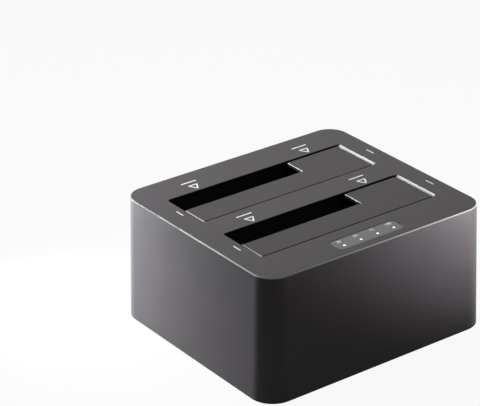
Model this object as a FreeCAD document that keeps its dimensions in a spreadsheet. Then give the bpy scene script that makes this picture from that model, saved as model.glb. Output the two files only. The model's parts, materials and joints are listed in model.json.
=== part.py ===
import FreeCAD, Part
import Sketcher
import math
import os
import re

# Twin-bay hard drive docking station, in millimetres.
# X runs along the front, Y from front to back and Z up from the underside of the feet.
# The two bays lie side by side, front and rear, each closed by a sprung flap with a notch for thin drives.

doc = FreeCAD.newDocument("DockingStation")
sheet = doc.addObject("Spreadsheet::Sheet", "Sizes")

SIZES = {
    # outer case
    "body_height": 64.0,
    "side_flare": 1.8,
    "corner_radius": 10.3,
    "wall": 2.4,
    "top_thickness": 2.0,
    "edge_round": 0.6,
    "foot_height": 1.5,
    # drive slots in the top
    "slot_length": 104.0,
    "slot_depth": 29.5,
    "slot_radius": 1.2,
    "slot_edge_chamfer": 0.25,
    "side_margin": 13.0,
    "front_margin": 21.6,
    "back_margin": 19.8,
    "slot_gap": 15.6,
    # flaps
    "notch_length": 71.3,
    "notch_depth": 13.3,
    "flap_gap": 0.8,
    "flap_recess": 0.4,
    "flap_thickness": 1.8,
    "flap_radius": 0.8,
    "flap_edge_chamfer": 0.3,
    "pin_radius": 0.8,
    "pin_clearance": 0.05,
    "knuckle_wall": 0.65,
    "knuckle_length": 12.0,
    "hinge_setback": 0.6,
    "hinge_headroom": 0.25,
    "stop_width": 8.0,
    "stop_reach": 1.0,
    "stop_thickness": 0.9,
    "spring_wire": 0.6,
    "spring_coil_radius": 1.25,
    "spring_turns": 4.0,
    "spring_leg": 9.0,
    "spring_leg_radius": 0.22,
    # bay frames
    "frame_wall": 1.8,
    "frame_play": 0.2,
    "floor_height": 16.0,
    "floor_thickness": 2.0,
    "trough_depth": 2.4,
    "trough_height": 5.5,
    "ear_size": 7.6,
    "ear_thickness": 2.5,
    "ear_boss_height": 5.0,
    "ear_boss_radius": 2.9,
    # fasteners
    "screw_radius": 1.1,
    "screw_head_radius": 2.2,
    "screw_head_height": 1.6,
    "screw_length": 6.0,
    "case_screw_radius": 1.4,
    "case_screw_head_radius": 2.7,
    "case_screw_head_height": 2.0,
    "case_screw_length": 14.0,
    "screw_play": 0.05,
    # corner posts and base
    "post_radius": 3.5,
    "post_inset_x": 8.5,
    "post_inset_y": 8.5,
    "base_thickness": 2.2,
    "base_play": 0.25,
    "base_boss_height": 5.3,
    "base_boss_radius": 4.2,
    "vent_length": 26.0,
    "vent_width": 2.2,
    "vent_pitch": 5.0,
    "foot_radius": 5.5,
    "foot_sink": 0.8,
    "foot_inset_x": 17.0,
    "foot_inset_y": 17.0,
    # main board
    "board_level": 9.5,
    "board_thickness": 1.6,
    "board_side_inset": 13.5,
    "board_front_inset": 6.0,
    "board_screw_inset": 4.5,
    "board_screw_y": 7.0,
    "board_boss_radius": 2.6,
    "can_radius": 3.1,
    "can_height": 11.0,
    "can_setback": 8.0,
    "inductor_size": 7.0,
    "inductor_height": 3.2,
    "inductor_inset": 3.0,
    "chip_size": 10.0,
    "chip_height": 1.4,
    "chip_x": 27.0,
    "memory_size": 4.6,
    "memory_x": 40.5,
    "crystal_width": 4.0,
    "crystal_length": 10.4,
    "crystal_height": 3.2,
    "crystal_x": 14.0,
    # drive connectors
    "drive_play": 1.2,
    "connector_offset": 30.1,
    "connector_setback": 4.0,
    "connector_length": 42.0,
    "connector_width": 6.0,
    "connector_foot": 5.0,
    "connector_nose_length": 37.4,
    "connector_nose_width": 4.6,
    "connector_height": 11.0,
    "contact_pitch": 1.27,
    "signal_slot": 10.4,
    "power_slot": 20.6,
    "slot_wall": 2.2,
    "blade_slot_width": 1.5,
    "blade_slot_depth": 6.0,
    "contact_width": 0.6,
    "contact_thickness": 0.3,
    # sockets on the back
    "io_setback": 0.8,
    "io_wall": 2.0,
    "io_side_inset": 16.0,
    "io_low": 7.0,
    "io_high": 27.5,
    "jack_inset": 11.0,
    "jack_width": 9.0,
    "jack_height": 11.0,
    "jack_depth": 14.0,
    "jack_nose_radius": 4.0,
    "jack_bore_radius": 3.1,
    "jack_bore_depth": 9.5,
    "jack_pin_radius": 1.0,
    "usb_x": -13.0,
    "usb_width": 12.0,
    "usb_height": 13.0,
    "usb_depth": 15.0,
    "usb_shell": 0.5,
    "usb_mouth_width": 8.5,
    "button_x": 13.0,
    "button_level": 15.5,
    "button_radius": 2.6,
    "button_proud": 0.8,
    "button_travel": 0.5,
    "rocker_inset": 14.0,
    "rocker_level": 17.5,
    "rocker_bezel_width": 15.0,
    "rocker_bezel_height": 10.6,
    "rocker_body_width": 13.2,
    "rocker_body_height": 8.8,
    "rocker_body_depth": 10.0,
    "rocker_bezel_thickness": 1.0,
    "rocker_opening_width": 11.9,
    "rocker_opening_height": 7.6,
    "rocker_sweep_radius": 5.8,
    "rocker_tilt": 7.0,
    "rocker_pivot_radius": 0.9,
    # progress lights
    "window_width": 38.4,
    "window_depth": 9.2,
    "window_centre": 9.7,
    "window_radius": 2.2,
    "window_sink": 0.15,
    "window_flange": 1.4,
    "light_pitch": 9.85,
    "light_offset": 1.8,
    "light_pipe_size": 2.2,
    "light_gap": 0.3,
    "lamp_length": 3.2,
    "lamp_width": 2.6,
    "lamp_height": 1.0,
    "light_board_drop": 10.9,
    "light_board_thickness": 1.2,
    "light_board_width": 56.0,
    "light_board_depth": 10.4,
    "light_boss_x": 24.5,
    "light_boss_radius": 2.4,
    "ribbon_socket_height": 3.0,
    "ribbon_socket_width": 3.2,
    "ribbon_socket_margin": 1.5,
    "ribbon_bow": 1.8,
    "ribbon_width": 7.0,
    "ribbon_thickness": 0.35,
    "press_gap": 0.03,
    "fit": 0.2,
}
NEAR = 0.01

for row, (alias, value) in enumerate(SIZES.items(), start=1):
    sheet.set(f"A{row}", alias)
    sheet.set(f"B{row}", str(value))
    sheet.setAlias(f"B{row}", alias)
doc.recompute()


def formula(text):
    """The text with each size's name pointing at its cell."""
    return re.sub(r"[a-z][a-z_]*", lambda word: f"Sizes.{word[0]}" if word[0] in SIZES else word[0],
                  str(text))


def value_of(text):
    """What a formula comes to, in millimetres."""
    result = sheet.evalExpression(formula(text))
    return float(getattr(result, "Value", result))


def bind(thing, **formulas):
    """Ties properties of an object to formulas; a double underscore stands for a dot."""
    for name, text in formulas.items():
        thing.setExpression(name.replace("__", "."), formula(text))


def place(thing, x=None, y=None, z=None):
    for axis, text in (("x", x), ("y", y), ("z", z)):
        if text is not None:
            bind(thing, **{f"Placement__Base__{axis}": text})


# Plain solids. Ranges are (low, high) formulas along each axis.


def box(name, x, y, z):
    block = doc.addObject("Part::Box", name)
    bind(block, Length=f"({x[1]}) - ({x[0]})", Width=f"({y[1]}) - ({y[0]})", Height=f"({z[1]}) - ({z[0]})")
    place(block, x[0], y[0], z[0])
    return block


TURNS = {
    "x": FreeCAD.Rotation(FreeCAD.Vector(0, 1, 0), 90),
    "y": FreeCAD.Rotation(FreeCAD.Vector(1, 0, 0), -90),
    "z": FreeCAD.Rotation(),
}


def rod(name, radius, along, start, end, at):
    """A cylinder along an axis from start to end; at holds its place on the other two axes, in order."""
    cylinder = doc.addObject("Part::Cylinder", name)
    cylinder.Placement = FreeCAD.Placement(FreeCAD.Vector(), TURNS[along])
    bind(cylinder, Radius=radius, Height=f"({end}) - ({start})")
    where = {"x": (start, *at), "y": (at[0], start, at[1]), "z": (*at, start)}[along]
    place(cylinder, *where)
    return cylinder


def cone(name, low_radius, high_radius, start, end, at):
    frustum = doc.addObject("Part::Cone", name)
    bind(frustum, Radius1=low_radius, Radius2=high_radius, Height=f"({end}) - ({start})")
    place(frustum, at[0], at[1], start)
    return frustum


def fuse(name, *pieces):
    joined = doc.addObject("Part::MultiFuse", name)
    joined.Shapes = list(pieces)
    joined.Refine = True
    return joined


def cut(name, base, *tools):
    tool = tools[0] if len(tools) == 1 else fuse(f"{name}_tools", *tools)
    result = doc.addObject("Part::Cut", name)
    result.Base = base
    result.Tool = tool
    return result


def group(name, pieces):
    """Several separate solids that share one node."""
    compound = doc.addObject("Part::Compound", name)
    compound.Links = list(pieces)
    return compound


def around(middle, length):
    """A range of a length with its middle at a place."""
    return f"({middle}) - ({length}) / 2", f"({middle}) + ({length}) / 2"


# Sketches


def hold(sketch, kind, geometry, vertex, text):
    """Pins a vertex of the sketch to a formula, measured from the sketch's origin."""
    number = sketch.addConstraint(Sketcher.Constraint(kind, -1, 1, geometry, vertex, value_of(text)))
    sketch.setExpression(f"Constraints[{number}]", formula(text))


def rounded_rectangle(sketch, x, y, radius):
    low_x, high_x, low_y, high_y = (value_of(text) for text in (*x, *y))
    r = value_of(radius)
    up = FreeCAD.Vector(0, 0, 1)
    corners = [(low_x, low_y), (high_x, low_y), (high_x, high_y), (low_x, high_y)]
    for number, (px, py) in enumerate(corners):
        qx, qy = corners[(number + 1) % 4]
        along = FreeCAD.Vector(qx - px, qy - py, 0).normalize() * r
        start, end = FreeCAD.Vector(px, py, 0) + along, FreeCAD.Vector(qx, qy, 0) - along
        sketch.addGeometry(Part.LineSegment(start, end), False)
    centres = [(high_x - r, low_y + r), (high_x - r, high_y - r), (low_x + r, high_y - r),
               (low_x + r, low_y + r)]
    for number, (cx, cy) in enumerate(centres):
        first = math.radians(270 + 90 * number)
        circle = Part.Circle(FreeCAD.Vector(cx, cy, 0), up, r)
        sketch.addGeometry(Part.ArcOfCircle(circle, first, first + math.pi / 2), False)
    for line in range(4):
        arc = 4 + line
        sketch.addConstraint(Sketcher.Constraint("Tangent", line, 2, arc, 1))
        sketch.addConstraint(Sketcher.Constraint("Tangent", arc, 2, (line + 1) % 4, 1))
        sketch.addConstraint(Sketcher.Constraint("Vertical" if line % 2 else "Horizontal", line))
    for arc in (5, 6, 7):
        sketch.addConstraint(Sketcher.Constraint("Equal", 4, arc))
    number = sketch.addConstraint(Sketcher.Constraint("Radius", 4, r))
    sketch.setExpression(f"Constraints[{number}]", formula(radius))
    hold(sketch, "DistanceX", 3, 1, x[0])
    hold(sketch, "DistanceX", 1, 1, x[1])
    hold(sketch, "DistanceY", 0, 1, y[0])
    hold(sketch, "DistanceY", 2, 1, y[1])


def polygon(sketch, points):
    """A closed outline through points given as pairs of formulas."""
    places = [FreeCAD.Vector(value_of(x), value_of(y), 0) for x, y in points]
    count = len(points)
    for number, start in enumerate(places):
        sketch.addGeometry(Part.LineSegment(start, places[(number + 1) % count]), False)
    for number in range(count):
        sketch.addConstraint(Sketcher.Constraint("Coincident", number, 2, (number + 1) % count, 1))
    for number, (x, y) in enumerate(points):
        hold(sketch, "DistanceX", number, 1, x)
        hold(sketch, "DistanceY", number, 1, y)


PLANES = {
    "z": FreeCAD.Rotation(),
    "y": FreeCAD.Rotation(FreeCAD.Vector(1, 0, 0), 90),
    "x": FreeCAD.Rotation(FreeCAD.Vector(1, 1, 1), 120),
}


def prism(name, along, start, end, draw, *shape):
    """A profile drawn across an axis and pulled along it from start to end."""
    sketch = doc.addObject("Sketcher::SketchObject", f"{name}_outline")
    sketch.Placement = FreeCAD.Placement(FreeCAD.Vector(), PLANES[along])
    draw(sketch, *shape)
    place(sketch, **{along: start})
    pulled = doc.addObject("Part::Extrusion", name)
    pulled.Base = sketch
    pulled.DirMode = "Custom"
    pulled.Dir = FreeCAD.Vector(*(1.0 if axis == along else 0.0 for axis in "xyz"))
    pulled.Solid = True
    bind(pulled, LengthFwd=f"({end}) - ({start})")
    return pulled


def lathe(name, across, level, axis, height, points):
    """A profile turned once about a line along X that lies in the profile's plane, at a height."""
    sketch = doc.addObject("Sketcher::SketchObject", f"{name}_outline")
    sketch.Placement = FreeCAD.Placement(FreeCAD.Vector(), PLANES[across])
    polygon(sketch, points)
    place(sketch, **{across: level})
    turned = doc.addObject("Part::Revolution", name)
    turned.Source = sketch
    turned.Axis = FreeCAD.Vector(*(1.0 if letter == axis else 0.0 for letter in "xyz"))
    turned.Angle = 360.0
    turned.Solid = True
    bind(turned, Base__y=level, Base__z=height)
    return turned


def slab(name, x, y, z, radius):
    """A block with rounded upright corners."""
    return prism(name, "z", z[0], z[1], rounded_rectangle, x, y, radius)


def edges_where(shape, test):
    """Numbers of the shape's edges whose points all pass the test."""
    found = []
    for number, edge in enumerate(shape.Edges, start=1):
        points = edge.discretize(3)
        if all(test(point) for point in points):
            found.append(number)
    return found


def soften(name, base, size, test, kind="Part::Chamfer"):
    """Breaks the edges whose points pass the test."""
    doc.recompute()
    softened = doc.addObject(kind, name)
    softened.Base = base
    width = value_of(size)
    softened.Edges = [(number, width, width) for number in edges_where(base.Shape, test)]
    return softened


nodes = {}


def node(label, thing):
    """Names a finished sub-part."""
    thing.Label = label
    nodes[label] = thing
    return thing


# Levels and places that several pieces share

WIDTH = "(slot_length + 2 * side_margin)"
DEPTH = "(front_margin + 2 * slot_depth + slot_gap + back_margin)"
TOP = "(foot_height + body_height)"
UNDER_TOP = f"({TOP} - top_thickness)"
BASE_TOP = "(foot_height + base_thickness)"
BOARD_UNDER = "(board_level - board_thickness)"
FLOOR_UNDER = "(floor_height - floor_thickness)"
FLAP_TOP = f"({TOP} - flap_recess)"
FLAP_UNDER = f"({FLAP_TOP} - flap_thickness)"
KNUCKLE_RADIUS = "(pin_radius + pin_clearance + knuckle_wall)"
PIN_LEVEL = f"({UNDER_TOP} - hinge_headroom - {KNUCKLE_RADIUS})"
IO_FACE = f"({DEPTH} / 2 - io_setback)"
IO_INNER = f"({IO_FACE} - io_wall)"
SLOT_LEFT = "(-slot_length / 2)"
SLOT_RIGHT = "(slot_length / 2)"
IO_HALF = f"({WIDTH} / 2 - io_side_inset)"
JACK_X = f"(jack_inset - {IO_HALF})"
ROCKER_X = f"({IO_HALF} - rocker_inset)"
LIGHT_BOARD = f"({UNDER_TOP} - light_board_drop)"
LIGHT_BOARD_UNDER = f"({LIGHT_BOARD} - light_board_thickness)"
POST_X = f"({WIDTH} / 2 - post_inset_x)"
POST_Y = f"({DEPTH} / 2 - post_inset_y)"
FRAME_LEFT = f"({SLOT_LEFT} - frame_play)"
FRAME_RIGHT = f"({SLOT_RIGHT} + frame_play)"
BAYS = {
    "front": f"(-{DEPTH} / 2 + front_margin)",
    "rear": f"(-{DEPTH} / 2 + front_margin + slot_depth + slot_gap)",
}
BOARD_SCREW_X = f"({SLOT_RIGHT} - board_screw_inset)"
SIGNS = (("left", "-1"), ("right", "1"))
CORNERS = [(f"{depth}_{across}", f"{sx} *", f"{sy} *")
           for depth, sy in (("front", "-1"), ("rear", "1")) for across, sx in SIGNS]


def half_at(span, level):
    """Half of the case's outer width or depth at a level; the sides flare towards the bottom."""
    return f"({span} / 2 + side_flare * ({TOP} - ({level})) / body_height)"


# Outer case: tapered shell, corner posts, bosses, slots, light window and socket cut-outs


def tapered(body, kind, name, level, inset):
    """A feature that runs down from a rounded outline at a level, widening as the case's sides do."""
    sketch = body.newObject("Sketcher::SketchObject", f"{name}_outline")
    plane = [thing for thing in body.Origin.OriginFeatures if thing.Role == "XY_Plane"][0]
    sketch.AttachmentSupport = [(plane, "")]
    sketch.MapMode = "FlatFace"
    bind(sketch, AttachmentOffset__Base__z=level)
    x, y = half_at(WIDTH, level), half_at(DEPTH, level)
    rounded_rectangle(sketch, (f"-{x} + ({inset})", f"{x} - ({inset})"),
                      (f"-{y} + ({inset})", f"{y} - ({inset})"), f"corner_radius - ({inset})")
    feature = body.newObject(kind, name)
    feature.Profile = sketch
    bind(feature, Length=f"({level}) - foot_height", TaperAngle="atan(side_flare / body_height)")
    doc.recompute()
    return feature


def make_housing():
    body = doc.addObject("PartDesign::Body", "shell")
    outside = tapered(body, "PartDesign::Pad", "outside", TOP, "0")
    outside.Reversed = True
    doc.recompute()
    top = value_of(TOP)
    rim = body.newObject("PartDesign::Fillet", "rim_round")
    rim.Base = (outside, [f"Edge{n}" for n in edges_where(outside.Shape, lambda p: abs(p.z - top) < NEAR)])
    bind(rim, Radius="edge_round")
    doc.recompute()
    tapered(body, "PartDesign::Pocket", "inside", UNDER_TOP, "wall")

    into_top = f"{UNDER_TOP} + 0.5 * top_thickness"
    posts = [rod(f"post_{name}", "post_radius", "z", f"{BASE_TOP} + base_boss_height", into_top,
                 (f"{sx} {POST_X}", f"{sy} {POST_Y}")) for name, sx, sy in CORNERS]
    ears = [post(f"ear_boss_{bay}_{name}", "ear_boss_radius", f"{UNDER_TOP} - ear_boss_height", into_top,
                 place_of_ear(bay, sx)) for bay in BAYS for name, sx in SIGNS]
    light_bosses = [post(f"light_boss_{name}", "light_boss_radius", LIGHT_BOARD, into_top,
                         (f"{sx} * light_boss_x", WINDOW_Y)) for name, sx in SIGNS]
    pad = box("socket_wall", (f"-{IO_HALF} - 2", f"{IO_HALF} + 2"), (IO_INNER, f"{IO_FACE} + 0.3"),
              (f"{BASE_TOP} + 1.5", "io_high + 2"))
    solid = fuse("shell_and_posts", body, *posts, *ears, *light_bosses, pad)

    post_foot = f"{BASE_TOP} + base_boss_height"
    bore = "screw_radius + screw_play"
    holes = [rod(f"post_hole_{name}", "case_screw_radius + screw_play", "z", post_foot,
                 f"{post_foot} + case_screw_length - 2", (f"{sx} {POST_X}", f"{sy} {POST_Y}"))
             for name, sx, sy in CORNERS]
    holes += [rod(f"ear_hole_{bay}_{name}", bore, "z", f"{UNDER_TOP} - ear_boss_height",
                  f"{UNDER_TOP} - 0.6", place_of_ear(bay, sx)) for bay in BAYS for name, sx in SIGNS]
    holes += [rod(f"light_hole_{name}", bore, "z", LIGHT_BOARD, f"{LIGHT_BOARD} + screw_length - 1",
                  (f"{sx} * light_boss_x", WINDOW_Y)) for name, sx in SIGNS]
    slots = [slab(f"slot_{bay}", (SLOT_LEFT, SLOT_RIGHT), (front, f"{front} + slot_depth"),
                  (f"{UNDER_TOP} - 1", f"{TOP} + 1"), "slot_radius") for bay, front in BAYS.items()]
    window = slab("window_hole", ("-window_width / 2 - fit", "window_width / 2 + fit"),
                  (f"{WINDOW_Y} - window_depth / 2 - fit", f"{WINDOW_Y} + window_depth / 2 + fit"),
                  (f"{UNDER_TOP} - 1", f"{TOP} + 1"), "window_radius + fit")
    recess = prism("socket_recess", "y", IO_FACE, f"{IO_FACE} + 6", rounded_rectangle,
                   (f"-{IO_HALF}", IO_HALF), ("io_low", "io_high"), "2")
    sockets = [
        rod("jack_hole", "jack_nose_radius + fit", "y", f"{IO_INNER} - 1", f"{IO_FACE} + 1",
            (JACK_X, JACK_LEVEL)),
        box("usb_hole", ("usb_x - usb_width / 2 - fit", "usb_x + usb_width / 2 + fit"),
            (f"{IO_INNER} - 1", f"{IO_FACE} + 1"),
            ("board_level - fit", "board_level + usb_height + fit")),
        rod("button_hole", "button_radius + fit", "y", f"{IO_INNER} - 1", f"{IO_FACE} + 1",
            ("button_x", "button_level")),
        box("rocker_hole",
            around(ROCKER_X, "rocker_body_width + 2 * fit"),
            (f"{IO_INNER} - 1", f"{IO_FACE} + 1"),
            ("rocker_level - rocker_body_height / 2 - fit", "rocker_level + rocker_body_height / 2 + fit")),
    ]
    carved = cut("case_cut", solid, *holes, *slots, window, recess, *sockets)
    half_x, half_y = value_of(SLOT_RIGHT), value_of(f"{BAYS['rear']} + slot_depth")
    slot_rims = soften("housing", carved, "slot_edge_chamfer",
                       lambda p: abs(p.z - top) < NEAR and abs(p.x) < half_x + NEAR
                       and value_of(BAYS["front"]) - NEAR < p.y < half_y)
    return node("housing", slot_rims)


def post(name, half, start, end, at):
    """A square boss hanging from the top."""
    x, y = at
    return box(name, (f"{x} - {half}", f"{x} + {half}"), (f"{y} - {half}", f"{y} + {half}"), (start, end))


def place_of_ear(bay, sx):
    """Centre of a bay frame's fixing ear, as (x, y) formulas."""
    return f"{sx} * ({FRAME_RIGHT} + frame_wall + ear_size / 2)", f"{BAYS[bay]} + slot_depth / 2"


WINDOW_Y = f"(-{DEPTH} / 2 + window_centre)"
JACK_LEVEL = "(board_level + jack_height / 2)"


# Bay frames: the wells that guide a drive, with the hinge trough along the front and fixing ears at the sides


def make_bay_frame(bay):
    front = BAYS[bay]
    low_y, high_y = f"{front} - frame_play", f"{front} + slot_depth + frame_play"
    trough_y = f"{front} - trough_depth"
    well = box(f"{bay}_well", (f"{FRAME_LEFT} - frame_wall", f"{FRAME_RIGHT} + frame_wall"),
               (f"{low_y} - frame_wall", f"{high_y} + frame_wall"), (FLOOR_UNDER, UNDER_TOP))
    trough = box(f"{bay}_trough", (f"{FRAME_LEFT} - frame_wall", f"{FRAME_RIGHT} + frame_wall"),
                 (f"{trough_y} - frame_wall", front),
                 (f"{UNDER_TOP} - trough_height - frame_wall", UNDER_TOP))
    ears, ear_holes, bosses, boss_holes = [], [], [], []
    for name, sx in SIGNS:
        x, y = place_of_ear(bay, sx)
        level = f"({UNDER_TOP} - ear_boss_height)"
        ears.append(box(f"{bay}_ear_{name}",
                        (f"{x} - ear_size / 2 - {sx} * 0.4", f"{x} + ear_size / 2 - {sx} * 0.4"),
                        (f"{y} - ear_size / 2", f"{y} + ear_size / 2"), (f"{level} - ear_thickness", level)))
        ear_holes.append(rod(f"{bay}_ear_hole_{name}", "screw_radius + fit", "z",
                             f"{level} - ear_thickness - 1", f"{level} + 1", (x, y)))
    for name, sx in SIGNS:
        where = (f"{sx} * {BOARD_SCREW_X}", f"{front} + board_screw_y")
        bosses.append(rod(f"{bay}_board_boss_{name}", "board_boss_radius", "z", "board_level",
                          f"{FLOOR_UNDER} + 0.5", where))
        boss_holes.append(rod(f"{bay}_board_boss_hole_{name}", "screw_radius + screw_play", "z",
                              "board_level", f"{BOARD_UNDER} + screw_length", where))
    solid = fuse(f"{bay}_frame_solid", well, trough, *ears, *bosses)
    hollow = box(f"{bay}_hollow", (FRAME_LEFT, FRAME_RIGHT), (low_y, high_y),
                 ("floor_height", f"{UNDER_TOP} + 1"))
    trough_hollow = box(f"{bay}_trough_hollow", (FRAME_LEFT, FRAME_RIGHT), (trough_y, f"{front} + 1"),
                        (f"{UNDER_TOP} - trough_height", f"{UNDER_TOP} + 1"))
    x, y = CONNECTOR_X, connector_y(bay)
    mouth = box(f"{bay}_connector_mouth",
                (f"{x} - connector_length / 2 - 0.4", f"{x} + connector_length / 2 + 0.4"),
                (f"{y} - connector_width / 2 - 0.4", f"{y} + connector_width / 2 + 0.4"),
                (f"{FLOOR_UNDER} - 1", "floor_height + 1"))
    windows = [box(f"{bay}_stop_window_{name}", (f"{x0} - 0.6", f"{x0} + stop_width + 0.6"),
                   (f"{high_y} - 0.5", f"{high_y} + frame_wall + 1"),
                   (f"{UNDER_TOP} - 11", f"{UNDER_TOP} + 1")) for name, x0 in STOPS]
    pin_holes = rod(f"{bay}_pin_holes", "pin_radius + 0.02", "x", f"{FRAME_LEFT} - frame_wall - 1",
                    f"{FRAME_RIGHT} + frame_wall + 1", (f"{front} - hinge_setback", PIN_LEVEL))
    carved = cut(f"{bay}_bay_frame", solid, hollow, trough_hollow, mouth, *windows, pin_holes, *ear_holes,
                 *boss_holes)
    return node(f"{bay}_bay_frame", carved)


CONNECTOR_X = f"({SLOT_LEFT} + drive_play + connector_offset)"
NOTCH_END = f"({SLOT_LEFT} + notch_length)"
STOPS = [("inner", f"({NOTCH_END} + 4)"), ("outer", f"({SLOT_RIGHT} - flap_gap - 2 - stop_width)")]


def connector_y(bay):
    return f"({BAYS[bay]} + slot_depth - connector_setback)"


# Flaps: an L-shaped plate on three hinge knuckles, with two stops behind its wide end


def make_flap(bay):
    front = BAYS[bay]
    left, right = f"{SLOT_LEFT} + flap_gap", f"{SLOT_RIGHT} - flap_gap"
    low_y, high_y = f"{front} + flap_gap", f"{front} + slot_depth - flap_gap"
    inner_y = f"{front} + slot_depth - notch_depth"
    outline = [(left, low_y), (right, low_y), (right, high_y), (NOTCH_END, high_y), (NOTCH_END, inner_y),
               (left, inner_y)]
    sharp = prism(f"{bay}_flap_sharp", "z", FLAP_UNDER, FLAP_TOP, polygon, outline)
    high, low = value_of(FLAP_TOP), value_of(FLAP_UNDER)

    doc.recompute()
    upright = [number for number, edge in enumerate(sharp.Shape.Edges, start=1)
               if abs(edge.Vertexes[0].Z - edge.Vertexes[1].Z) > 0.1]
    plate = doc.addObject("Part::Fillet", f"{bay}_flap_corners")
    plate.Base = sharp
    plate.Edges = [(number, value_of("flap_radius"), value_of("flap_radius")) for number in upright]
    plate = soften(f"{bay}_flap_plate", plate, "flap_edge_chamfer", lambda p: abs(p.z - high) < NEAR)

    pin_y = f"({front} - hinge_setback)"
    arms, knuckles = [], []
    for name, start in (("left", f"({left} + 0.6)"), ("middle", "(-knuckle_length / 2)"),
                        ("right", f"({right} - 0.6 - knuckle_length)")):
        end = f"{start} + knuckle_length"
        knuckles.append(rod(f"{bay}_knuckle_{name}", KNUCKLE_RADIUS, "x", start, end, (pin_y, PIN_LEVEL)))
        crown, root = f"{PIN_LEVEL} + {KNUCKLE_RADIUS}", f"{FLAP_UNDER} + 0.5"
        web = [(pin_y, crown), (pin_y, PIN_LEVEL), (f"{pin_y} + 2.4", PIN_LEVEL),
               (f"{pin_y} + 4.6", FLAP_UNDER), (f"{pin_y} + 4.6", root), (f"{pin_y} + 2", root),
               (f"{pin_y} + 1", crown)]
        arms.append(prism(f"{bay}_arm_{name}", "x", start, end, polygon, web))
    stops = [box(f"{bay}_stop_{name}", (x0, f"{x0} + stop_width"),
                 (f"{high_y} - 3", f"{front} + slot_depth + stop_reach"),
                 (f"{FLAP_UNDER} - stop_thickness", f"{FLAP_UNDER}")) for name, x0 in STOPS]
    whole = fuse(f"{bay}_flap_whole", plate, *knuckles, *arms, *stops)
    bore = rod(f"{bay}_flap_bore", "pin_radius + pin_clearance", "x", f"{left} - 1", f"{right} + 1",
               (pin_y, PIN_LEVEL))
    node(f"{bay}_flap", cut(f"{bay}_flap", whole, bore))
    pin = rod(f"{bay}_flap_pin", "pin_radius", "x", f"{FRAME_LEFT} - frame_wall",
              f"{FRAME_RIGHT} + frame_wall", (pin_y, PIN_LEVEL))
    node(f"{bay}_flap_pin", pin)


def make_flap_spring(bay):
    """A close-wound torsion spring on the hinge pin: its grooved coil, a leg under the flap and a tail."""
    start = f"({SLOT_LEFT} + flap_gap + 1.6 + knuckle_length)"
    pin_y = f"({BAYS[bay]} - hinge_setback)"
    turns = round(value_of("spring_turns"))
    bore = f"{PIN_LEVEL} + spring_coil_radius - spring_wire / 2"
    groove = f"{PIN_LEVEL} + spring_coil_radius"
    crest = f"{PIN_LEVEL} + spring_coil_radius + spring_wire / 2"
    outline = [(start, bore)]
    for number in range(turns):
        outline.append((f"{start} + {number} * spring_wire", groove))
        outline.append((f"{start} + {number + 0.5} * spring_wire", crest))
    outline.append((f"{start} + {turns} * spring_wire", groove))
    outline.append((f"{start} + {turns} * spring_wire", bore))
    coil = lathe(f"{bay}_spring_coil", "y", pin_y, "x", PIN_LEVEL, outline)
    leg = rod(f"{bay}_spring_leg", "spring_leg_radius", "y", pin_y, f"{pin_y} + spring_leg",
              (f"{start} + spring_wire / 2", f"{PIN_LEVEL} + spring_coil_radius"))
    tail = rod(f"{bay}_spring_tail", "spring_leg_radius", "z", f"{PIN_LEVEL} - trough_height / 2", PIN_LEVEL,
               (f"{start} + {turns - 0.5} * spring_wire", f"{pin_y} - spring_coil_radius"))
    return node(f"{bay}_flap_spring", fuse(f"{bay}_flap_spring", coil, leg, tail))


# Drive connectors: a moulded block with a signal slot and a power slot, and their contacts


def make_drive_connector(bay):
    x, y = CONNECTOR_X, connector_y(bay)
    top = "(board_level + connector_height)"
    foot = box(f"{bay}_connector_foot", (f"{x} - connector_length / 2", f"{x} + connector_length / 2"),
               (f"{y} - connector_width / 2", f"{y} + connector_width / 2"),
               ("board_level", "board_level + connector_foot"))
    nose = box(f"{bay}_connector_nose",
               (f"{x} - connector_nose_length / 2", f"{x} + connector_nose_length / 2"),
               (f"{y} - connector_nose_width / 2", f"{y} + connector_nose_width / 2"), ("board_level", top))
    posts = [box(f"{bay}_connector_guide_{name}",
                 (f"{x} + {sx} * (connector_length / 2 - 0.9) - 0.9",
                  f"{x} + {sx} * (connector_length / 2 - 0.9) + 0.9"),
                 (f"{y} - 1.6", f"{y} + 1.6"), ("board_level", f"{top} + 1.5")) for name, sx in SIGNS]
    block = fuse(f"{bay}_connector_block", foot, nose, *posts)
    slots = []
    for name, low, high in connector_slots():
        slots.append(box(f"{bay}_{name}_slot", (low, high),
                         (f"{y} - blade_slot_width / 2", f"{y} + blade_slot_width / 2"),
                         (f"{top} - blade_slot_depth", f"{top} + 1")))
        slots.append(box(f"{bay}_{name}_key", (f"{high} - 1.3", high),
                         (f"{y} - blade_slot_width / 2 - 0.9", y),
                         (f"{top} - blade_slot_depth", f"{top} + 1")))
    node(f"{bay}_drive_connector", cut(f"{bay}_drive_connector", block, *slots))
    blades = []
    for name, low, count in (("signal", connector_slots()[0][1], 7),
                             ("power", connector_slots()[1][1], 15)):
        for number in range(count):
            at = f"{low} + 1.3 + {number} * contact_pitch - (contact_width / 2)"
            blades.append(box(f"{bay}_{name}_contact_{number}", (at, f"{at} + contact_width"),
                              (f"{y} + blade_slot_width / 2 - contact_thickness",
                               f"{y} + blade_slot_width / 2"),
                              (f"{top} - blade_slot_depth", f"{top} - 0.6")))
    node(f"{bay}_drive_contacts", group(f"{bay}_drive_contacts", blades))


def connector_slots():
    """The two slots' names and ends along X: a wall, the signal slot, a wall, the power slot, a wall."""
    low = f"({CONNECTOR_X} - (signal_slot + power_slot + slot_wall) / 2)"
    return [("signal", low, f"({low} + signal_slot)"),
            ("power", f"({low} + signal_slot + slot_wall)",
             f"({low} + signal_slot + slot_wall + power_slot)")]


# Base cover, feet and case screws


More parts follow.
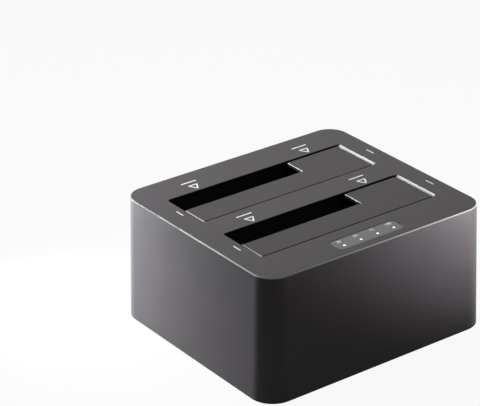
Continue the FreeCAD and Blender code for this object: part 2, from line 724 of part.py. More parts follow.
def make_base():
    level = "foot_height"
    x, y = half_at(WIDTH, BASE_TOP), half_at(DEPTH, BASE_TOP)
    plate = slab("base_plate", (f"-{x} + wall + base_play", f"{x} - wall - base_play"),
                 (f"-{y} + wall + base_play", f"{y} - wall - base_play"), (level, BASE_TOP),
                 "corner_radius - wall + side_flare")
    bosses = [rod(f"base_boss_{name}", "base_boss_radius", "z", level, f"{BASE_TOP} + base_boss_height",
                  (f"{sx} {POST_X}", f"{sy} {POST_Y}")) for name, sx, sy in CORNERS]
    ribs = [box(f"base_rib_{number}", (f"-{POST_X} + 8", f"{POST_X} - 8"),
                (f"{sy} * 20 - 0.8", f"{sy} * 20 + 0.8"), (level, f"{BASE_TOP} + 1.2"))
            for number, sy in enumerate(("-1", "1"))]
    solid = fuse("base_solid", plate, *bosses, *ribs)
    holes = []
    for name, sx, sy in CORNERS:
        where = (f"{sx} {POST_X}", f"{sy} {POST_Y}")
        holes.append(rod(f"base_hole_{name}", "case_screw_radius + fit", "z", f"{level} - 1",
                         f"{BASE_TOP} + base_boss_height + 1", where))
        holes.append(rod(f"base_bore_{name}", "case_screw_head_radius + 0.3", "z", f"{level} - 1",
                         CASE_SEAT, where))
        holes.append(rod(f"foot_sink_{name}", "foot_radius + fit", "z", f"{level} - 1",
                         f"{level} + foot_sink", place_of_foot(sx, sy)))
    for row in (-1, 1):
        for number in range(-4, 5):
            middle = f"({row} * (vent_length / 2 + 5))"
            holes.append(box(f"vent_{row + 1}_{number + 4}", around(middle, "vent_length"),
                             around(f"{number} * vent_pitch", "vent_width"),
                             (f"{level} - 1", f"{BASE_TOP} + 3")))
    node("base_cover", cut("base_cover", solid, *holes))
    for name, sx, sy in CORNERS:
        where = place_of_foot(sx, sy)
        taper = cone(f"foot_taper_{name}", "foot_radius - 0.6", "foot_radius", "0", "0.8", where)
        disc = rod(f"foot_disc_{name}", "foot_radius", "z", "0.8", f"{level} + foot_sink", where)
        node(f"foot_{name}", fuse(f"foot_{name}", taper, disc))
    screws = [screw(f"case_screw_{name}", "case_screw_radius", "case_screw_head_radius",
                    "case_screw_head_height", "case_screw_length", CASE_SEAT,
                    (f"{sx} {POST_X}", f"{sy} {POST_Y}")) for name, sx, sy in CORNERS]
    node("case_screws", group("case_screws", screws))


def place_of_foot(sx, sy):
    return f"{sx} ({WIDTH} / 2 - foot_inset_x)", f"{sy} ({DEPTH} / 2 - foot_inset_y)"


CASE_SEAT = f"({BASE_TOP} + base_boss_height - 3)"


def screw(name, radius, head_radius, head_height, length, seat, at):
    """A screw driven upwards, its head's upper face on the seat."""
    return fuse(name, rod(f"{name}_head", head_radius, "z", f"{seat} - {head_height}", seat, at),
                rod(f"{name}_shank", radius, "z", f"{seat} - 0.5", f"{seat} + {length}", at))


def make_small_screws():
    ear_seat = f"({UNDER_TOP} - ear_boss_height - ear_thickness)"
    for bay in BAYS:
        ears = [screw(f"{bay}_ear_screw_{name}", "screw_radius", "screw_head_radius", "screw_head_height",
                      "screw_length", ear_seat, place_of_ear(bay, sx)) for name, sx in SIGNS]
        node(f"{bay}_frame_screws", group(f"{bay}_frame_screws", ears))
    board = [screw(f"board_screw_{bay}_{name}", "screw_radius", "screw_head_radius", "screw_head_height",
                   "screw_length - 0.5", BOARD_UNDER,
                   (f"{sx} * {BOARD_SCREW_X}", f"{BAYS[bay]} + board_screw_y"))
             for bay in BAYS for name, sx in SIGNS]
    node("board_screws", group("board_screws", board))
    light = [screw(f"light_screw_{name}", "screw_radius", "screw_head_radius", "screw_head_height",
                   "screw_length", LIGHT_BOARD_UNDER, (f"{sx} * light_boss_x", WINDOW_Y))
             for name, sx in SIGNS]
    node("light_board_screws", group("light_board_screws", light))


# Main board and what is soldered to it


def make_main_board():
    blank = box("board_blank", around("0", f"{WIDTH} - 2 * board_side_inset"),
                (f"-{DEPTH} / 2 + board_front_inset", f"{IO_INNER} - fit"), (BOARD_UNDER, "board_level"))
    holes = [rod(f"board_hole_{bay}_{name}", "screw_radius + fit", "z", f"{BOARD_UNDER} - 1",
                 "board_level + 1", (f"{sx} * {BOARD_SCREW_X}", f"{BAYS[bay]} + board_screw_y"))
             for bay in BAYS for name, sx in SIGNS]
    node("main_board", cut("main_board", blank, *holes))
    middle = f"({BAYS['rear']} - slot_gap / 2)"
    node("bridge_chip", on_board("bridge_chip", "chip_x", middle, "chip_size", "chip_size", "chip_height"))
    node("memory_chip", on_board("memory_chip", "memory_x", middle, "memory_size", "memory_size",
                                 "chip_height"))
    node("crystal", on_board("crystal", "crystal_x", middle, "crystal_width", "crystal_length",
                             "crystal_height"))
    cans = [rod(f"capacitor_{number}", "can_radius", "z", "board_level", "board_level + can_height",
                (x, f"{IO_INNER} - can_setback"))
            for number, x in enumerate((f"{JACK_X} + 12", "0", f"{ROCKER_X} - 13.5"))]
    node("power_capacitors", group("power_capacitors", cans))
    row = f"-{DEPTH} / 2 + board_front_inset + inductor_inset + inductor_size / 2"
    coils = [on_board(f"inductor_{number}", x, row, "inductor_size", "inductor_size", "inductor_height")
             for number, x in enumerate((f"{JACK_X} + 5.5", f"{JACK_X} + 17.5"))]
    node("power_inductors", group("power_inductors", coils))


def on_board(name, x, y, length, width, height):
    """A block that stands on the main board, centred at a place."""
    return box(name, around(x, length), around(y, width), ("board_level", f"board_level + {height}"))


# Sockets and controls on the back


def make_power_jack():
    half = "jack_width / 2"
    block = box("jack_block", (f"{JACK_X} - {half}", f"{JACK_X} + {half}"),
                (f"{IO_INNER} - jack_depth + io_wall", f"{IO_INNER} - 0.1"),
                ("board_level", "board_level + jack_height"))
    nose = rod("jack_nose", "jack_nose_radius", "y", f"{IO_INNER} - 1", f"{IO_FACE} + 0.2",
               (JACK_X, JACK_LEVEL))
    bore = rod("jack_bore", "jack_bore_radius", "y", f"{IO_FACE} - jack_bore_depth", f"{IO_FACE} + 1",
               (JACK_X, JACK_LEVEL))
    node("power_jack", cut("power_jack", fuse("jack_solid", block, nose), bore))
    shaft = rod("jack_pin_shaft", "jack_pin_radius", "y", f"{IO_FACE} - jack_bore_depth",
                f"{IO_FACE} - 0.8", (JACK_X, JACK_LEVEL))
    node("power_jack_pin", shaft)


def make_usb_socket():
    low, high = "usb_x - usb_width / 2", "usb_x + usb_width / 2"
    block = box("usb_block", (low, high), (f"{IO_FACE} - usb_depth", f"{IO_FACE} + 0.1"),
                ("board_level", "board_level + usb_height"))
    half = "(usb_mouth_width / 2)"
    sill = "(board_level + 1.3)"
    mouth = prism("usb_mouth", "y", f"{IO_FACE} - usb_depth + 3", f"{IO_FACE} + 1", polygon,
                  [(f"usb_x - {half}", sill), (f"usb_x + {half}", sill),
                   (f"usb_x + {half}", f"{sill} + 5.8"), (f"usb_x + {half} - 1.2", f"{sill} + 7.2"),
                   (f"usb_x + {half} - 1.2", f"{sill} + 10.4"), (f"usb_x - {half} + 1.2", f"{sill} + 10.4"),
                   (f"usb_x - {half} + 1.2", f"{sill} + 7.2"), (f"usb_x - {half}", f"{sill} + 5.8")])
    node("usb_shell", cut("usb_shell", block, mouth))
    tongue = box("usb_tongue_main", ("usb_x - 2.8", "usb_x + 2.8"),
                 (f"{IO_FACE} - usb_depth + 3", f"{IO_FACE} - 1.2"), (f"{sill} + 2.0", f"{sill} + 5.1"))
    upper = box("usb_tongue_upper", ("usb_x - 2.2", "usb_x + 2.2"),
                (f"{IO_FACE} - usb_depth + 3", f"{IO_FACE} - 1.2"), (f"{sill} + 8.2", f"{sill} + 9.2"))
    node("usb_tongues", group("usb_tongues", [tongue, upper]))


def make_power_switch():
    x, level = ROCKER_X, "rocker_level"
    bezel_face = f"({IO_FACE} + rocker_bezel_thickness)"
    pivot_y = ROCKER_PIVOT
    bezel = prism("rocker_bezel", "y", IO_FACE, bezel_face, rounded_rectangle,
                  (f"{x} - rocker_bezel_width / 2", f"{x} + rocker_bezel_width / 2"),
                  (f"{level} - rocker_bezel_height / 2", f"{level} + rocker_bezel_height / 2"), "1.2")
    body = box("rocker_body", (f"{x} - rocker_body_width / 2", f"{x} + rocker_body_width / 2"),
               (f"{IO_FACE} - rocker_body_depth", f"{IO_FACE} + 0.2"),
               (f"{level} - rocker_body_height / 2", f"{level} + rocker_body_height / 2"))
    opening = box("rocker_opening", (f"{x} - rocker_opening_width / 2", f"{x} + rocker_opening_width / 2"),
                  (f"{pivot_y} - rocker_sweep_radius - 0.3", f"{bezel_face} + 1"),
                  (f"{level} - rocker_opening_height / 2", f"{level} + rocker_opening_height / 2"))
    pivots = rod("rocker_pivot_holes", "rocker_pivot_radius + 0.05", "z",
                 f"{level} - rocker_opening_height / 2 - 0.35",
                 f"{level} + rocker_opening_height / 2 + 0.35", (x, pivot_y))
    node("rocker_frame", cut("rocker_frame", fuse("rocker_frame_solid", bezel, body), opening, pivots))

    # the paddle is turned about its pivot, so that it rests in the off position
    height = "(rocker_opening_height / 2 - 0.15)"
    disc = rod("rocker_disc", "rocker_sweep_radius", "z", f"{level} - {height}", f"{level} + {height}",
               (x, pivot_y))
    reach = "rocker_sweep_radius"
    faces = prism("rocker_faces", "z", f"{level} - {height}", f"{level} + {height}", polygon,
                  [(f"{x} - {reach}", f"{pivot_y} - 3.2"), (f"{x} + {reach}", f"{pivot_y} - 3.2"),
                   (f"{x} + {reach}", f"{pivot_y} + 2.35"), (x, f"{pivot_y} + 1.75"),
                   (f"{x} - {reach}", f"{pivot_y} + 2.35")])
    paddle = doc.addObject("Part::MultiCommon", "rocker_paddle")
    paddle.Shapes = [disc, faces]
    trunnions = rod("rocker_trunnions", "rocker_pivot_radius", "z",
                    f"{level} - rocker_opening_height / 2 - 0.3",
                    f"{level} + rocker_opening_height / 2 + 0.3", (x, pivot_y))
    rocker = node("power_rocker", fuse("power_rocker", paddle, trunnions))
    turn = f"placement(vector(0; 0; 0); rotation(vector(0; 0; 1); -rocker_tilt); vector({x}; {pivot_y}; 0))"
    bind(rocker, Placement=turn)
    blades = [box(f"rocker_blade_{name}", (f"{x} + {sx} * 4 - 1.2", f"{x} + {sx} * 4 + 1.2"),
                  (f"{IO_FACE} - rocker_body_depth - 1.2", f"{IO_FACE} - rocker_body_depth - 0.7"),
                  ("board_level", f"{level} + 1")) for name, sx in SIGNS]
    roots = [box(f"rocker_blade_root_{name}", (f"{x} + {sx} * 4 - 1.2", f"{x} + {sx} * 4 + 1.2"),
                 (f"{IO_FACE} - rocker_body_depth - 1.2", f"{IO_FACE} - rocker_body_depth"),
                 (f"{level} + 0.4", f"{level} + 1")) for name, sx in SIGNS]
    terminals = [fuse(f"rocker_terminal_{number}", blade, root)
                 for number, (blade, root) in enumerate(zip(blades, roots))]
    node("rocker_terminals", group("rocker_terminals", terminals))


ROCKER_PIVOT = f"({IO_FACE} + rocker_bezel_thickness - 1.5)"


def make_copy_button():
    """The cap stands in its hole in the back, kept by a flange, and presses a switch on the board."""
    at = ("button_x", "button_level")
    flange_back = f"({IO_INNER} - 0.1)"
    cap = rod("button_stem", "button_radius", "y", f"{flange_back} - 0.5", f"{IO_FACE} + button_proud", at)
    flange = rod("button_flange", "button_radius + 1.2", "y", f"{flange_back} - 1", flange_back, at)
    node("copy_button", soften("copy_button", fuse("button_sharp", cap, flange), "0.4",
                               lambda p: abs(p.y - value_of(f"{IO_FACE} + button_proud")) < NEAR))
    plunger = rod("copy_switch_plunger", "1.6", "y", f"{flange_back} - 3", f"{flange_back} - 1", at)
    node("copy_switch_plunger", plunger)
    back = f"({flange_back} - 2)"
    case = box("switch_case", ("button_x - 3.5", "button_x + 3.5"), (f"{back} - 5", back),
               ("board_level", "board_level + 9.2"))
    well = rod("switch_well", "1.75", "y", f"{back} - 1.7 - button_travel", f"{back} + 1", at)
    node("copy_switch", cut("copy_switch", case, well))


# Progress lights: window, light guide, small board, lamps and ribbon


def make_progress_lights():
    x = ("-window_width / 2", "window_width / 2")
    y = (f"{WINDOW_Y} - window_depth / 2", f"{WINDOW_Y} + window_depth / 2")
    pane = slab("window_pane", x, y, (f"{UNDER_TOP} - 0.5", f"{TOP} - window_sink"), "window_radius")
    flange = slab("window_rim", (f"{x[0]} - window_flange", f"{x[1]} + window_flange"),
                  (f"{y[0]} - window_flange", f"{y[1]} + window_flange"),
                  (f"{UNDER_TOP} - 1", UNDER_TOP), "window_radius + window_flange")
    node("light_window", fuse("light_window", pane, flange))
    lamp_y = f"({WINDOW_Y} - light_offset)"
    guides, lamps = [], []
    lamp_top = f"({LIGHT_BOARD} + lamp_height)"
    for number in range(4):
        at = f"({number} - 1.5) * light_pitch"
        guides.append(box(f"light_pipe_{number}", around(at, "light_pipe_size"),
                          around(lamp_y, "light_pipe_size"),
                          (f"{lamp_top} + light_gap", f"{UNDER_TOP} - 1")))
        lamps.append(box(f"lamp_{number}", around(at, "lamp_length"), around(lamp_y, "lamp_width"),
                         (LIGHT_BOARD, lamp_top)))
    low, high = f"{UNDER_TOP} - 4.5", f"{UNDER_TOP} - 3"
    bar = box("light_bar", ("-light_boss_x", "light_boss_x"), (f"{lamp_y} - 1.8", f"{lamp_y} + 1.8"),
              (low, high))
    rings = [post(f"guide_ring_{name}", "light_boss_radius + 1.2", low, high,
                  (f"{sx} * light_boss_x", WINDOW_Y)) for name, sx in SIGNS]
    bores = [post(f"guide_bore_{name}", "light_boss_radius + press_gap", f"{low} - 1", f"{high} + 1",
                  (f"{sx} * light_boss_x", WINDOW_Y)) for name, sx in SIGNS]
    node("light_guide", cut("light_guide", fuse("light_guide_solid", bar, *rings, *guides), *bores))
    node("progress_lamps", group("progress_lamps", lamps))
    blank = box("light_board_blank", around("0", "light_board_width"), around(WINDOW_Y, "light_board_depth"),
                (LIGHT_BOARD_UNDER, LIGHT_BOARD))
    holes = [rod(f"light_board_hole_{name}", "screw_radius + fit", "z", f"{LIGHT_BOARD_UNDER} - 1",
                 f"{LIGHT_BOARD} + 1", (f"{sx} * light_boss_x", WINDOW_Y)) for name, sx in SIGNS]
    node("light_board", cut("light_board", blank, *holes))
    plug_low = f"({LIGHT_BOARD_UNDER} - ribbon_socket_height)"
    seat_x = around("0", "ribbon_width + 2 * ribbon_socket_margin")
    seat_y = around(WINDOW_Y, "ribbon_socket_width")
    upper = box("ribbon_socket_upper", seat_x, seat_y, (plug_low, LIGHT_BOARD_UNDER))
    lower = box("ribbon_socket_lower", seat_x, seat_y, ("board_level", "board_level + ribbon_socket_height"))
    node("ribbon_sockets", group("ribbon_sockets", [upper, lower]))
    node("light_ribbon", ribbon("light_ribbon", "board_level + ribbon_socket_height", plug_low))


def ribbon(name, low, high):
    """A flat cable standing between two sockets, bowed forwards as one arc."""
    bow, half = value_of("ribbon_bow"), value_of(f"(({high}) - ({low})) / 2")
    radius = (half * half + bow * bow) / (2 * bow)
    swing = math.asin(half / radius)
    sketch = doc.addObject("Sketcher::SketchObject", f"{name}_outline")
    sketch.Placement = FreeCAD.Placement(FreeCAD.Vector(value_of("-ribbon_width / 2"), 0, 0), PLANES["x"])
    centre = FreeCAD.Vector(value_of(WINDOW_Y) + radius - bow, value_of(f"(({high}) + ({low})) / 2"), 0)
    ends = []
    for r in (radius, radius - value_of("ribbon_thickness")):
        arc = Part.ArcOfCircle(Part.Circle(centre, FreeCAD.Vector(0, 0, 1), r), math.pi - swing,
                               math.pi + swing)
        sketch.addGeometry(arc, False)
        ends.append((arc.StartPoint, arc.EndPoint))
    sketch.addGeometry(Part.LineSegment(ends[0][0], ends[1][0]), False)
    sketch.addGeometry(Part.LineSegment(ends[0][1], ends[1][1]), False)
    strip = doc.addObject("Part::Extrusion", name)
    strip.Base = sketch
    strip.DirMode = "Custom"
    strip.Dir = FreeCAD.Vector(1, 0, 0)
    strip.Solid = True
    bind(strip, LengthFwd="ribbon_width")
    return strip


make_housing()
for bay in BAYS:
    make_bay_frame(bay)
    make_flap(bay)
    make_flap_spring(bay)
    make_drive_connector(bay)
make_base()
make_small_screws()
make_main_board()
make_power_jack()
make_usb_socket()
make_power_switch()
make_copy_button()
make_progress_lights()
doc.recompute()

faults = [thing.Name for thing in doc.Objects if "Invalid" in thing.State or "Error" in thing.State]
faults += [label for label, thing in nodes.items() if thing.Shape.isNull() or not thing.Shape.isValid()]
if faults:
    raise SystemExit(f"these objects failed: {faults}")

os.makedirs("parts", exist_ok=True)
for label, thing in nodes.items():
    thing.Shape.exportStep(f"parts/{label}.step")
print(len(nodes), "sub-parts written")
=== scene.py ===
import bpy
import bmesh
import json
import math
from mathutils import Matrix, Vector


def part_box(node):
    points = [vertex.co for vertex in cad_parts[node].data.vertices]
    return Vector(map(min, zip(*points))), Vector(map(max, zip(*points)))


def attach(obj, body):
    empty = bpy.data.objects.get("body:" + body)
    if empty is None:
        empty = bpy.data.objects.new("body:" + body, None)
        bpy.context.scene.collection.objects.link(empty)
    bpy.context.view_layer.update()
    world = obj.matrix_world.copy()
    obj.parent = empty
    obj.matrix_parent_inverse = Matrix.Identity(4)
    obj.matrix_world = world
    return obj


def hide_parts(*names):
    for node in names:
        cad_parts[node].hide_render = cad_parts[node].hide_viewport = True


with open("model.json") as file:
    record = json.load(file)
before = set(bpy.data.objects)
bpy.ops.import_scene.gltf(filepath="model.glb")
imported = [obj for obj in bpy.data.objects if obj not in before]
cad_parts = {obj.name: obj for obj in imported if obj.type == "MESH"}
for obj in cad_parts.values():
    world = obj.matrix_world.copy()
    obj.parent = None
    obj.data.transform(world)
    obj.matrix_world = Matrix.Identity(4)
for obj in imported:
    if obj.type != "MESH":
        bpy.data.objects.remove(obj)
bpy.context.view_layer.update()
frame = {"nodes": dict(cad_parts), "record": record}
print("frame loaded:", len(frame["nodes"]), "nodes")

mm = 0.001
scene = bpy.context.scene


# camera: the photograph's own view, 480 x 406

cameraSet = {
    "azimuth": -36.18,  # degrees round the object, from the front
    "elevation": 26.04,
    "roll": -0.789,
    "place": (-0.59408, -0.76157, 0.5353),
    "lens": 168.5,
    "sensor": 36.0,
}


def addCamera(values):
    az, el, roll = (math.radians(values[name]) for name in ("azimuth", "elevation", "roll"))
    back = Vector((math.sin(az) * math.cos(el), -math.cos(az) * math.cos(el), math.sin(el)))
    right = Vector((math.cos(az), math.sin(az), 0))
    up = back.cross(right)
    turnedRight = right * math.cos(roll) + up * math.sin(roll)
    turnedUp = up * math.cos(roll) - right * math.sin(roll)
    bpy.ops.object.camera_add(location=values["place"])
    camera = bpy.context.object
    camera.name = "photoCamera"
    camera.rotation_euler = Matrix((turnedRight, turnedUp, back)).transposed().to_euler()
    camera.data.lens = values["lens"]
    camera.data.sensor_width = values["sensor"]
    camera.data.clip_start = 0.05
    scene.camera = camera
    return camera


addCamera(cameraSet)


# shader maths

class Value:
    def __init__(self, tree, socket):
        self.tree = tree
        self.socket = socket

    def math(self, operation, *others, flip=False):
        inputs = [self.socket] + [other.socket if isinstance(other, Value) else other for other in others]
        if flip:
            inputs.reverse()
        return addNode(self.tree, "ShaderNodeMath", {"operation": operation}, inputs)

    def __add__(self, other):
        return self.math("ADD", other)

    def __radd__(self, other):
        return self.math("ADD", other)

    def __sub__(self, other):
        return self.math("SUBTRACT", other)

    def __rsub__(self, other):
        return self.math("SUBTRACT", other, flip=True)

    def __mul__(self, other):
        return self.math("MULTIPLY", other)

    def __rmul__(self, other):
        return self.math("MULTIPLY", other)


def addNode(tree, kind, settings, inputs, output=0):
    node = tree.nodes.new(kind)
    for name, setting in settings.items():
        setattr(node, name, setting)
    pairs = inputs.items() if isinstance(inputs, dict) else enumerate(inputs)
    for name, given in pairs:
        given = given.socket if isinstance(given, Value) else given
        if isinstance(given, bpy.types.NodeSocket):
            tree.links.new(given, node.inputs[name])
        elif given is not None:
            node.inputs[name].default_value = given
    return Value(tree, node.outputs[output])


class Finish:
    # one material: its own coordinates, and the sockets of its Principled shader
    def __init__(self, name, constants):
        self.material = bpy.data.materials.new(name)
        self.material.use_nodes = True
        self.tree = self.material.node_tree
        self.shader = self.tree.nodes["Principled BSDF"]
        for socket, constant in constants.items():
            self.shader.inputs[socket].default_value = constant
        self.place = self.node("ShaderNodeTexCoord", {}, {}, "Object")

    def node(self, kind, settings, inputs, output=0):
        return addNode(self.tree, kind, settings, inputs, output)

    def noise(self, scale, detail=3.0, stretch=(1, 1, 1), output="Fac"):
        place = self.node("ShaderNodeMapping", {}, {"Vector": self.place, "Scale": stretch})
        inputs = {"Vector": place, "Scale": scale, "Detail": detail}
        return self.node("ShaderNodeTexNoise", {}, inputs, output)

    def mix(self, factor, low, high):
        inputs = {"Factor": factor, "A": low, "B": high}
        return self.node("ShaderNodeMix", {"data_type": "RGBA"}, inputs, "Result")

    def between(self, factor, low, high):
        return self.mix(factor, (*low, 1), (*high, 1))

    def feed(self, socket, value):
        self.tree.links.new(value.socket, self.shader.inputs[socket])

    def axes(self):
        apart = self.tree.nodes.new("ShaderNodeSeparateXYZ")
        self.tree.links.new(self.place.socket, apart.inputs[0])
        return [Value(self.tree, output) for output in apart.outputs]

    def bump(self, height, distance, strength=1.0):
        inputs = {"Height": height, "Distance": distance, "Strength": strength}
        self.feed("Normal", self.node("ShaderNodeBump", {}, inputs))


# finishes

plasticSet = {
    "casePlastic": {
        "dark": (0.036, 0.0315, 0.0352), "light": (0.048, 0.042, 0.047),
        "rough": 0.40, "spread": 0.06, "grain": 0.008, "specular": 0.07,
        # painted highlights on the top edges and slot ends, painted shade at the slot backs
        "edges": ["rim", "frontRimHighlight", "rimNearEndHighlight", "rimEndHighlight", "slotBackShade", "slotEndHighlight"]},
    "flapPlastic": {
        "dark": (0.030, 0.0262, 0.0292), "light": (0.040, 0.035, 0.039),
        "rough": 0.38, "spread": 0.06, "grain": 0.006, "specular": 0.06,
        # painted highlights on the flap's left-facing end edges
        "edges": ["flapPlastic"]},
    "framePlastic": {
        "dark": (0.008, 0.008, 0.008), "light": (0.012, 0.012, 0.012),
        "rough": 0.7, "spread": 0.10, "grain": 0.015, "specular": 0.06},
    "basePlastic": {
        "dark": (0.030, 0.029, 0.030), "light": (0.040, 0.039, 0.040),
        "rough": 0.55, "spread": 0.10, "grain": 0.020, "specular": 0.4},
    "switchPlastic": {
        "dark": (0.012, 0.012, 0.012), "light": (0.016, 0.016, 0.016),
        "rough": 0.18, "spread": 0.08, "grain": 0.002, "specular": 0.5},
    "buttonPlastic": {
        "dark": (0.045, 0.045, 0.045), "light": (0.055, 0.055, 0.055),
        "rough": 0.4, "spread": 0.08, "grain": 0.004, "specular": 0.5},
    "connectorPlastic": {
        "dark": (0.012, 0.012, 0.012), "light": (0.02, 0.02, 0.02),
        "rough": 0.35, "spread": 0.1, "grain": 0.004, "specular": 0.5},
    "usbPlastic": {
        "dark": (0.010, 0.10, 0.50), "light": (0.014, 0.13, 0.58),
        "rough": 0.35, "spread": 0.1, "grain": 0.003, "specular": 0.5},
    "chipResin": {
        "dark": (0.018, 0.018, 0.019), "light": (0.03, 0.03, 0.031),
        "rough": 0.6, "spread": 0.1, "grain": 0.008, "specular": 0.4},
    "windowPlastic": {
        "dark": (0.070, 0.070, 0.073), "light": (0.080, 0.080, 0.083),
        "rough": 0.45, "spread": 0.04, "grain": 0.0, "specular": 0.25},
    "clearPlastic": {
        "dark": (0.6, 0.61, 0.62), "light": (0.7, 0.71, 0.72),
        "rough": 0.1, "spread": 0.05, "grain": 0.0, "specular": 0.5},
    "rubber": {
        "dark": (0.014, 0.014, 0.014), "light": (0.024, 0.024, 0.024),
        "rough": 0.75, "spread": 0.1, "grain": 0.02, "specular": 0.3},
}


# painted highlights and painted shade on edges, in mm: a band of heights, and spots given as middle and half
# size in X and Y
paintedHighlightShadeSet = {
    # painted highlight on the rounded top edge at the left, right and back
    "rim": {"heights": (64.95, 65.47), "colour": (0.26, 0.255, 0.26), "spots": [
        (-66.0, 0.0, 8.0, 60.0), (66.0, 0.0, 8.0, 60.0), (0.0, 59.0, 67.0, 9.0)]},
    # painted highlight on the rounded front top edge
    "frontRimHighlight": {"heights": (64.95, 65.47), "colour": (0.19, 0.186, 0.19), "spots": [
        (0.0, -59.0, 67.0, 9.0)]},
    # painted highlight on the left top edge, dimmer towards the back
    "rimNearEndHighlight": {"heights": (64.95, 65.47), "colour": (0.14, 0.137, 0.14), "spots": [
        (-66.0, 20.0, 8.0, 10.0)]},
    # painted highlight on the left top edge near the back end, dimmest
    "rimEndHighlight": {"heights": (64.95, 65.47), "colour": (0.06, 0.058, 0.06), "spots": [
        (-66.0, 44.0, 8.0, 16.0)]},
    # painted shade: near black along each slot's rear edge and the wall below it
    "slotBackShade": {"heights": (61.0, 65.47), "colour": (0.006, 0.005, 0.006), "spots": [
        (0.0, -6.75, 52.3, 0.3), (0.0, 38.35, 52.3, 0.3)]},
    # painted highlight on the left-facing edges at the flaps' ends and notch ends
    "flapPlastic": {"heights": (64.82, 65.08), "colour": (0.55, 0.54, 0.55), "spots": [
        (-51.05, -27.8, 0.3, 7.6), (-51.05, 17.3, 0.3, 7.6),
        (19.45, -13.9, 0.3, 6.3), (19.45, 31.2, 0.3, 6.3)]},
    # painted highlight on the widened chamfer at each slot's right end
    "slotEndHighlight": {"heights": (64.0, 65.47), "colour": (0.52, 0.51, 0.52), "spots": [
        (52.5, -21.6, 0.8, 13.8), (52.5, 23.5, 0.8, 13.8)]},
}


# where a painted highlight or painted shade lies: inside the band of heights and inside any spot
def paintedHighlightShadeShare(finish, values):
    x, y, z = finish.axes()
    low, high = values["heights"]
    band = z.math("GREATER_THAN", low * mm) * z.math("LESS_THAN", high * mm)
    share = None
    for middleX, middleY, halfX, halfY in values["spots"]:
        inX = x.math("COMPARE", middleX * mm, halfX * mm)
        inY = y.math("COMPARE", middleY * mm, halfY * mm)
        spot = inX * inY
        share = share.math("MAXIMUM", spot) if share else spot
    return band * share


# all plastics: a slow drift of the colour over a panel, and the mould's fine spark texture
textureSet = {"cloudScale": 60.0, "cloudShare": 0.6, "speckScale": 2400.0, "speckShare": 0.4, "detail": 2.0}


def plasticFinish(name, values):
    finish = Finish(name, {"IOR": 1.5, "Specular IOR Level": values["specular"]})
    cloud = finish.noise(textureSet["cloudScale"], textureSet["detail"])
    speck = finish.noise(textureSet["speckScale"], textureSet["detail"])
    shade = cloud * textureSet["cloudShare"] + speck * textureSet["speckShare"]
    colour = finish.between(shade, values["dark"], values["light"])
    # painted highlights and painted shade laid over the plastic's own colour on the listed edges
    for paintedEdge in values.get("edges", []):
        colour = finish.mix(paintedHighlightShadeShare(finish, paintedHighlightShadeSet[paintedEdge]), colour, (*paintedHighlightShadeSet[paintedEdge]["colour"], 1))
    finish.feed("Base Color", colour)
    rough = values["rough"] + (speck - 0.5) * values["spread"]
    finish.feed("Roughness", rough + (cloud - 0.5) * values["spread"])
    if values["grain"]:
        finish.bump(speck, values["grain"] * mm)
    return finish.material


metalSet = {
    "steel": {
        "dark": (0.42, 0.42, 0.43), "light": (0.62, 0.62, 0.63), "rough": 0.28, "stretch": (1, 12, 12)},
    "springSteel": {
        "dark": (0.35, 0.35, 0.36), "light": (0.5, 0.5, 0.5), "rough": 0.3, "stretch": (1, 1, 1)},
    "contactGold": {
        "dark": (0.72, 0.50, 0.18), "light": (0.86, 0.64, 0.27), "rough": 0.25, "stretch": (1, 1, 6)},
    "aluminium": {
        "dark": (0.62, 0.62, 0.64), "light": (0.78, 0.78, 0.8), "rough": 0.3, "stretch": (1, 1, 10)},
}
# all metals: brushed lines
streakSet = {"scale": 700.0, "detail": 3.0, "spread": 0.2, "height": 0.004}


def metalFinish(name, values):
    finish = Finish(name, {"Metallic": 1.0})
    streak = finish.noise(streakSet["scale"], streakSet["detail"], values["stretch"])
    finish.feed("Base Color", finish.between(streak, values["dark"], values["light"]))
    finish.feed("Roughness", values["rough"] + (streak - 0.5) * streakSet["spread"])
    finish.bump(streak, streakSet["height"] * mm)
    return finish.material


# green lacquer over copper tracks that run along X and Y
boardSet = {
    "dark": (0.006, 0.06, 0.022), "light": (0.01, 0.085, 0.03), "rough": 0.35, "cloudScale": 90.0,
    "trackColour": (0.02, 0.16, 0.06, 1), "trackShare": 0.7, "trackHeight": 0.02, "trackScale": 300.0,
    "trackWidth": 0.05, "trackLength": 1.9, "trackPitch": 0.6, "offset": 0.37, "squash": 0.6,
}


def boardFinish(values):
    finish = Finish("circuitBoard", {"Roughness": values["rough"]})
    tracks = finish.node("ShaderNodeTexBrick", {"offset": values["offset"], "squash": values["squash"]}, {
        "Vector": finish.place, "Scale": values["trackScale"], "Mortar Size": values["trackWidth"],
        "Brick Width": values["trackLength"], "Row Height": values["trackPitch"]}, "Fac")
    cloud = finish.noise(values["cloudScale"])
    lacquer = finish.between(cloud, values["dark"], values["light"])
    finish.feed("Base Color", finish.mix(tracks * values["trackShare"], lacquer, values["trackColour"]))
    finish.bump(tracks, values["trackHeight"] * mm)
    return finish.material


# grey flat cable: one ridge for each wire
ribbonSet = {
    "dark": (0.28, 0.28, 0.29), "light": (0.5, 0.5, 0.51), "rough": 0.5, "ridgeScale": 320.0, "ridge": 0.15,
}


def ribbonFinish(values):
    finish = Finish("ribbonPlastic", {"Roughness": values["rough"]})
    wave = finish.node("ShaderNodeTexWave", {"wave_type": "BANDS", "bands_direction": "X"}, {
        "Vector": finish.place, "Scale": values["ridgeScale"]}, "Fac")
    finish.feed("Base Color", finish.between(wave, values["dark"], values["light"]))
    finish.bump(wave, values["ridge"] * mm)
    return finish.material


# pale screen print, a little worn through
printSet = {"worn": (0.40, 0.40, 0.41), "fresh": (0.62, 0.62, 0.63), "rough": 0.55, "wearScale": 1500.0}


def printFinish(values):
    finish = Finish("whitePrint", {"Roughness": values["rough"]})
    wear = finish.noise(values["wearScale"], textureSet["detail"])
    finish.feed("Base Color", finish.between(wear, values["worn"], values["fresh"]))
    return finish.material


